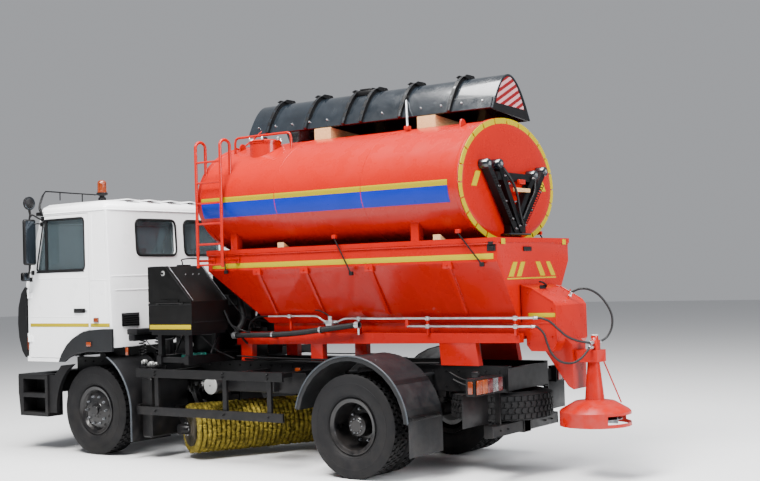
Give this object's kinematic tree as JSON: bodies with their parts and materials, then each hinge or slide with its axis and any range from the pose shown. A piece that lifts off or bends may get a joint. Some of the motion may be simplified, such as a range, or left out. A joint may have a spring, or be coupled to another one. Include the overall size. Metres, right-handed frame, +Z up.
{
  "type": "combined road maintenance truck",
  "caption": "Two-axle cab-over road maintenance truck with a hopper spreader, a saddle water tank, a mid-mounted cylindrical brush and a stowed snow plough.",
  "frame": {"origin": "middle of the truck's outline on the ground", "axes": "+X towards the cab's front, +Y towards the driver's left side, +Z up"},
  "size_m": [7.88, 2.94, 4.2387],
  "materials": {
    "orange_paint": "gloss",
    "white_paint": "gloss",
    "black_paint": "satin",
    "grey_plastic": "matte",
    "tyre_rubber": "matte",
    "wheel_paint": "satin",
    "glass": "polished",
    "steel": "brushed",
    "plough_paint": "satin",
    "wood": "raw",
    "bristle": "matte",
    "amber": "gloss",
    "hose_rubber": "matte"
  },
  "bodies": {
    "truck": {"chassis_frame": "black_paint", "engine_block": "grey_plastic", "front_axle": "black_paint", "rear_axle": "black_paint", "bumper": "black_paint", "front_mudguard_left": "grey_plastic", "front_mudguard_right": "grey_plastic", "rear_fender_left": "grey_plastic", "rear_fender_right": "grey_plastic", "side_guard_left": "black_paint", "side_guard_right": "black_paint", "equipment_rack": "black_paint", "locker": "black_paint", "subframe": "orange_paint", "hopper": "orange_paint", "spreader_shroud": "orange_paint", "water_tank": "orange_paint", "plough_blade": "plough_paint", "plough_beam_front": "wood", "plough_beam_rear": "wood", "push_frame": "black_paint", "spare_tyre": "tyre_rubber", "spare_rim": "wheel_paint", "hose_upper": "hose_rubber", "hose_lower": "hose_rubber", "hose_loop": "hose_rubber"},
    "cab": {"cab_side_left": "white_paint", "cab_side_right": "white_paint", "cab_front": "white_paint", "windscreen": "glass", "cab_rear_wall": "white_paint", "rear_windows": "glass", "cab_roof": "white_paint", "cab_floor": "grey_plastic", "arch_flare_left": "grey_plastic", "arch_flare_right": "grey_plastic", "grille_panel": "grey_plastic", "beacon": "amber"},
    "left_door": {"door_left": "white_paint", "door_glass_left": "glass", "mirror_left": "black_paint"},
    "right_door": {"door_right": "white_paint", "door_glass_right": "glass", "mirror_right": "black_paint"},
    "left_knuckle": {"knuckle_left": "black_paint"},
    "right_knuckle": {"knuckle_right": "black_paint"},
    "front_wheel_left": {"front_tyre_left": "tyre_rubber", "front_rim_left": "wheel_paint"},
    "front_wheel_right": {"front_tyre_right": "tyre_rubber", "front_rim_right": "wheel_paint"},
    "rear_wheels_left": {"rear_rims_left": "wheel_paint", "rear_tyre_inner_left": "tyre_rubber", "rear_tyre_outer_left": "tyre_rubber"},
    "rear_wheels_right": {"rear_rims_right": "wheel_paint", "rear_tyre_inner_right": "tyre_rubber", "rear_tyre_outer_right": "tyre_rubber"},
    "brush_arm": {"brush_carrier": "black_paint"},
    "brush": {"brush_rotor": "bristle"},
    "spinner": {"spreader_disc": "steel"},
    "locker_flap": {"locker_door": "black_paint"}
  },
  "joints": [
    {"name": "cab_tilt", "type": "hinge", "parent": "truck", "child": "cab", "pos_m": [3.62, 0, 1.155], "axis": [0, 1, 0], "range_deg": [0, 45]},
    {"name": "door_left_swing", "type": "hinge", "parent": "cab", "child": "left_door", "pos_m": [3.619, 1.233, 1.7], "axis": [0, 0, -1], "range_deg": [0, 70]},
    {"name": "door_right_swing", "type": "hinge", "parent": "cab", "child": "right_door", "pos_m": [3.619, -1.233, 1.7], "axis": [0, 0, 1], "range_deg": [0, 70]},
    {"name": "steer_left", "type": "hinge", "parent": "truck", "child": "left_knuckle", "pos_m": [2.51, 0.8, 0.53786], "axis": [0, 0, 1], "range_deg": [-30, 30]},
    {"name": "steer_right", "type": "hinge", "parent": "truck", "child": "right_knuckle", "pos_m": [2.51, -0.8, 0.53786], "axis": [0, 0, 1], "range_deg": [-30, 30]},
    {"name": "front_spin_left", "type": "hinge", "parent": "left_knuckle", "child": "front_wheel_left", "pos_m": [2.51, 1.02, 0.53786], "axis": [0, 1, 0], "continuous": true},
    {"name": "front_spin_right", "type": "hinge", "parent": "right_knuckle", "child": "front_wheel_right", "pos_m": [2.51, -1.02, 0.53786], "axis": [0, 1, 0], "continuous": true},
    {"name": "rear_spin_left", "type": "hinge", "parent": "truck", "child": "rear_wheels_left", "pos_m": [-1.44, 0.93, 0.53786], "axis": [0, 1, 0], "continuous": true},
    {"name": "rear_spin_right", "type": "hinge", "parent": "truck", "child": "rear_wheels_right", "pos_m": [-1.44, -0.93, 0.53786], "axis": [0, 1, 0], "continuous": true},
    {"name": "brush_lift", "type": "hinge", "parent": "truck", "child": "brush_arm", "pos_m": [1.18428, -0.39802, 0.76], "axis": [0.4384, 0.8988, 0], "range_deg": [-3, 7.5]},
    {"name": "brush_spin", "type": "hinge", "parent": "brush_arm", "child": "brush", "pos_m": [0.645, -0.135, 0.355], "axis": [0.4384, 0.8988, 0], "continuous": true},
    {"name": "disc_spin", "type": "hinge", "parent": "truck", "child": "spinner", "pos_m": [-3.58, 0, 0.58], "axis": [0, 0, 1], "continuous": true},
    {"name": "locker_drop", "type": "hinge", "parent": "truck", "child": "locker_flap", "pos_m": [1.12, 1.229, 1.826], "axis": [-1, 0, 0], "range_deg": [0, 100]}
  ],
  "couplings": [
    {"joint": "steer_right", "follows": "steer_left", "ratio": 1}
  ]
}
